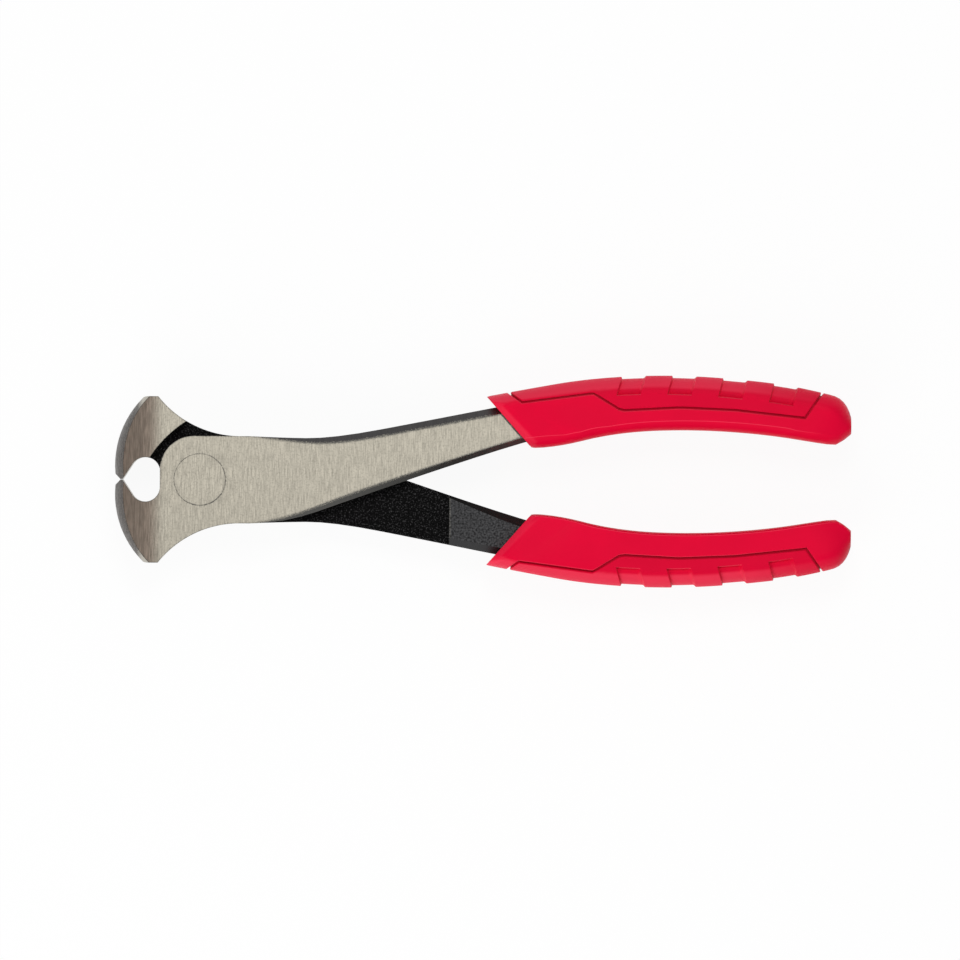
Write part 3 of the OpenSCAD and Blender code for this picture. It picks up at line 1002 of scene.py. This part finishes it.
def oxide_colour(n, lower_tone, shaded_upper_tone):
    """Black oxide of the lap and the tang, with painted shade darkening the lap, a painted highlight on the
    step, and the tones of the lower and upper bevels, the upper ones darker as painted shade.
    """
    lap_grain = n.noise(n.at, LAP_SPACING, LAP_DETAIL)
    # Painted shade: the lap's oxide is darker than the tang's
    lap = n.tinted(LAP_OXIDE_SHADE, LAP_TINT, n.ramp(lap_grain, *LAP_RAMP))
    behind_lap = n.ramp(n.x, *TANG_START)
    flat = n.mix(behind_lap, lap, n.tinted(TANG, TANG_TINT, n.ramp(n.speck, *TANG_RAMP)))
    # Painted shade: bevels facing +Y take the darker upper tone
    bevel = n.mix(n.ramp(n.sideways, *UPPER_FACING), lower_tone, shaded_upper_tone)
    level = n.ramp(n.maths("ABSOLUTE", n.upward), *LEVEL_FACING)
    # Painted highlight on the step at the lap's end
    on_step = n.maths("MULTIPLY", behind_lap, n.ramp(n.x, *STEP_END))
    on_step = n.maths("MULTIPLY", on_step, n.ramp(n.maths("ABSOLUTE", n.sideways), *STEP_FACING))
    step = n.tinted(BEVEL, STEP_TINT, n.ramp(n.speck, *STEP_RAMP))
    return n.mix(on_step, n.mix(level, bevel, flat), step)


def lever_steel(name, face, shoulder_side, lower_tone, shaded_upper_tone):
    """Ground faces with cross marks, bare jaws and black oxide elsewhere."""
    n = LeverNodes(name)
    on_rim = rim_share(n)
    bare = bare_share(n, face, shoulder_side)
    colour = n.mix(bare, oxide_colour(n, lower_tone, shaded_upper_tone), ground_colour(n, on_rim))
    n.set(Base_Color=colour, Metallic=n.ramp(on_rim, 0, 1, 1, 0), Specular_IOR_Level=STEEL_SPECULAR)
    roughness = n.ramp(bare, 0, 1, OXIDE_ROUGHNESS, GROUND_ROUGHNESS)
    n.set(Roughness=n.maths("ADD", n.maths("MULTIPLY", n.marks, MARK_ROUGHNESS), roughness))
    marked = n.bump(n.marks, MARK_HEIGHT, MARK_STRENGTH)
    n.set(Normal=n.bump(n.grain, GRAIN_HEIGHT, GRAIN_STRENGTH, marked))
    return n.material


def rivet_steel(name):
    """Head ground together with the joint, with a dark line round it."""
    n = Nodes(name)
    place = n.place()
    marks = grind_marks(n, place)
    x, y, _ = n.axes(place)
    ground = n.tinted(GROUND, MARK_TINT, marks)
    ground = specked(n, ground, n.noise(place, SPECK_SPACING, SPECK_DETAIL))
    at_edge = n.ramp(distance_from(n, x, y, (0, 0)), *LINE_EDGE)
    line = n.maths("MULTIPLY", rivet_line(n, place), at_edge)
    n.set(Metallic=1.0, Base_Color=n.mix(line, ground, BEVEL))
    n.set(Roughness=n.maths("ADD", n.maths("MULTIPLY", marks, MARK_ROUGHNESS), GROUND_ROUGHNESS))
    n.set(Normal=n.bump(marks, MARK_HEIGHT, MARK_STRENGTH))
    return n.material


# Red mouldings

SLEEVE_RED = (0.76, 0.0006, 0.034)
SLEEVE_ROUGHNESS = 0.42
SLEEVE_SPACING = 0.25
PAD_RED = (0.7, 0.001, 0.032)
PAD_ROUGHNESS = 0.55
PAD_SPACING = 0.18
# The outer sides carry a paler painted sheen, strongest towards the nose, and the rear end carries painted
# shade
SIDE_SHEEN_RED = (0.8, 0.03, 0.073)
SIDE_FACING = (0.25, 0.6)
SIDE_FADE = (128, 158, 1, 0.2)
TAIL_SHADE_RED = (0.45, 0.001, 0.024)
TAIL_FACING = (0.88, 0.99)
TAIL_START = (155, 157)
# The crease and the nose's bevel carry a painted highlight, and the seam's groove carries painted shade
CREASE_HIGHLIGHT_RED = (0.95, 0.06, 0.12)
CREASE_SHARE = 0.8
GROOVE_SHADE_RED = (0.52, 0.001, 0.024)
GROOVE_RAMP = (0, -0.8)

# Uneven tone, satin grain and sheen
RED_DETAIL = 3
TONE_SPACING = 9
TONE_RAMP = (0.3, 0.7)
TONE_SHADE = 0.95
SATIN_RAMP = (0.2, 0.8)
SATIN_SMOOTHER = 0.05
SATIN_ROUGHER = 0.07
SATIN_HEIGHT = 0.012
SATIN_STRENGTH = 0.35
RED_SPECULAR = 0.05
RED_SHEEN = 0.08
SHEEN_ROUGHNESS = 0.3


def moulded(name, colour, roughness, spacing):
    """Moulded red plastic or soft rubber with a fine satin texture, painted sheen on its outer sides,
    painted shade on its rear end and in the seam's groove, and painted highlights along the crease and on
    the nose's bevel.
    """
    n = Nodes(name)
    place = n.place()
    grain = n.noise(place, spacing, RED_DETAIL)
    tone = n.noise(place, TONE_SPACING, RED_DETAIL)
    red = n.mix(n.ramp(tone, *TONE_RAMP), shade(colour, TONE_SHADE), colour)
    rearward, sideways, _ = n.axes(n.facing())
    x, y, _ = n.axes(place)
    # Painted sheen: the outer sides are paler, less so towards the rear end
    side = n.ramp(n.maths("MULTIPLY", sideways, n.maths("SIGN", y)), *SIDE_FACING)
    red = n.mix(n.maths("MULTIPLY", side, n.ramp(x, *SIDE_FADE)), red, SIDE_SHEEN_RED)
    # Painted shade on the rear end face
    tail = n.maths("MULTIPLY", n.ramp(rearward, *TAIL_FACING), n.ramp(x, *TAIL_START))
    red = n.mix(tail, red, TAIL_SHADE_RED)
    mark = n.add("ShaderNodeAttribute", attribute_name=PAINTED_LIGHT_MARK).outputs["Fac"]
    # Painted shade in the seam's groove
    red = n.mix(n.ramp(mark, *GROOVE_RAMP), red, GROOVE_SHADE_RED)
    # Painted highlight along the crease and on the nose's bevel
    n.set(Base_Color=n.mix(n.maths("MULTIPLY", mark, CREASE_SHARE), red, CREASE_HIGHLIGHT_RED))
    n.set(Roughness=n.ramp(grain, *SATIN_RAMP, roughness - SATIN_SMOOTHER, roughness + SATIN_ROUGHER))
    n.set(Specular_IOR_Level=RED_SPECULAR, Sheen_Weight=RED_SHEEN, Sheen_Roughness=SHEEN_ROUGHNESS)
    n.set(Normal=n.bump(grain, SATIN_HEIGHT, SATIN_STRENGTH))
    return n.material


# Pieces of the tool

def dressed(node_name, material):
    """CAD node with its material."""
    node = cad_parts[node_name]
    node.data.materials.clear()
    node.data.materials.append(material)


def add_levers():
    """Levers and rivet, which are the solids themselves."""
    dressed("front_lever", lever_steel("ground_steel", FRONT_FACE, 1, BEVEL, UPPER_BEVEL_SHADE))
    dressed("back_lever", lever_steel("oxidised_steel", BACK_FACE, -1, TANG, DARK_BEVEL_SHADE))
    dressed("pivot_rivet", rivet_steel("rivet_steel"))


def add_grips():
    """Sleeve and pad of both grips, the lower one turned over."""
    grip = Grip()
    sleeve_red = moulded("sleeve_red", SLEEVE_RED, SLEEVE_ROUGHNESS, SLEEVE_SPACING)
    pad_red = moulded("pad_red", PAD_RED, PAD_ROUGHNESS, PAD_SPACING)
    for side, body, turned in (("upper", "front_half", False), ("lower", "back_half", True)):
        for part, made, red in (("sleeve", sleeve_mesh(grip), sleeve_red), ("pad", pad_mesh(grip), pad_red)):
            piece = mesh_piece(f"{side}_{part}_moulding", *made, turned)
            piece.data.materials.append(red)
            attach(piece, body)
            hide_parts(f"{side}_grip_{part}")


# Floor, light and camera

WHITE = (1, 1, 1, 1)
FLOOR_Z = -5
FLOOR_HALF = 6000
FLOOR_TONE = (0.9, 0.9, 0.9, 1)
FLOOR_GLOW_SHARE = 0.93
WORLD_LEVEL = 0.45
# Places and sizes of the lights are in metres
LIGHT_AIM = (0.06, 0, 0)
KEY_PLACE = (-0.36, -0.66, 0.5)
KEY_SIZE = 0.75
KEY_LEVEL = 2.65
FILL_PLACE = (0.1, 0.45, 1.0)
FILL_SIZE = 0.35
FILL_LEVEL = 10
TOP_PLACE = (0.06, 0, 1.2)
TOP_SIZE = 0.9
TOP_LEVEL = 0.25


def add_floor():
    """Large pale floor that shows white and keeps the object's shadow."""
    half, z = FLOOR_HALF * MM, FLOOR_Z * MM
    mesh = bpy.data.meshes.new("floor")
    corners = [(-half, -half, z), (half, -half, z), (half, half, z), (-half, half, z)]
    mesh.from_pydata(corners, [], [(0, 1, 2, 3)])
    floor = bpy.data.objects.new("floor", mesh)
    bpy.context.scene.collection.objects.link(floor)
    n = Nodes("floor_white")
    n.tree.nodes.remove(n.shader)
    diffuse = n.add("ShaderNodeBsdfDiffuse")
    diffuse.inputs["Color"].default_value = FLOOR_TONE
    glow = n.add("ShaderNodeEmission")
    glow.inputs["Color"].default_value = WHITE
    glow.inputs["Strength"].default_value = 1
    path = n.add("ShaderNodeLightPath")
    seen = n.maths("MAXIMUM", path.outputs["Is Camera Ray"], path.outputs["Is Glossy Ray"])
    seen = n.maths("MAXIMUM", seen, path.outputs["Is Transmission Ray"])
    mixed = n.add("ShaderNodeMixShader")
    n.join(n.maths("MULTIPLY", seen, FLOOR_GLOW_SHARE), mixed.inputs[0])
    n.join(diffuse.outputs[0], mixed.inputs[1])
    n.join(glow.outputs[0], mixed.inputs[2])
    n.join(mixed.outputs[0], n.tree.nodes["Material Output"].inputs["Surface"])
    mesh.materials.append(n.material)


def add_light():
    """Soft boxes above the tool and on both sides of it, and an even surround."""
    world = bpy.data.worlds.new("surround")
    world.use_nodes = True
    background = world.node_tree.nodes["Background"]
    background.inputs["Color"].default_value = WHITE
    background.inputs["Strength"].default_value = WORLD_LEVEL
    bpy.context.scene.world = world
    for name, place, size, level in (("key_box", KEY_PLACE, KEY_SIZE, KEY_LEVEL),
                                     ("fill_box", FILL_PLACE, FILL_SIZE, FILL_LEVEL),
                                     ("top_box", TOP_PLACE, TOP_SIZE, TOP_LEVEL)):
        lamp = bpy.data.lights.new(name, "AREA")
        lamp.shape = "SQUARE"
        lamp.size = size
        lamp.energy = level * size ** 2 * math.pi
        box = bpy.data.objects.new(name, lamp)
        box.location = place
        aim = Vector(LIGHT_AIM) - box.location
        box.rotation_euler = aim.to_track_quat("-Z", "Y").to_euler()
        box.visible_camera = False
        bpy.context.scene.collection.objects.link(box)


VIEW_CENTRE = (70, 0.2, 10)
VIEW_WIDTH = 240
VIEW_DISTANCE = 6000
VIEW_ROLL = math.radians(0.25)
SENSOR_WIDTH = 36
# Farthest distance that the camera sees, in metres
VIEW_END = 100


def add_camera():
    """Long lens straight above the flat side of the tool."""
    data = bpy.data.cameras.new("camera")
    data.sensor_width = SENSOR_WIDTH
    data.lens = SENSOR_WIDTH * VIEW_DISTANCE / VIEW_WIDTH
    data.clip_end = VIEW_END
    camera = bpy.data.objects.new("camera", data)
    x, y, z = VIEW_CENTRE
    place = Matrix.Translation((x * MM, y * MM, (z + VIEW_DISTANCE) * MM))
    camera.matrix_world = place @ Matrix.Rotation(VIEW_ROLL, 4, "Z")
    bpy.context.scene.collection.objects.link(camera)
    bpy.context.scene.camera = camera


bpy.context.scene.view_settings.view_transform = "Standard"
add_levers()
add_grips()
add_floor()
add_light()
add_camera()

bpy.context.view_layer.update()
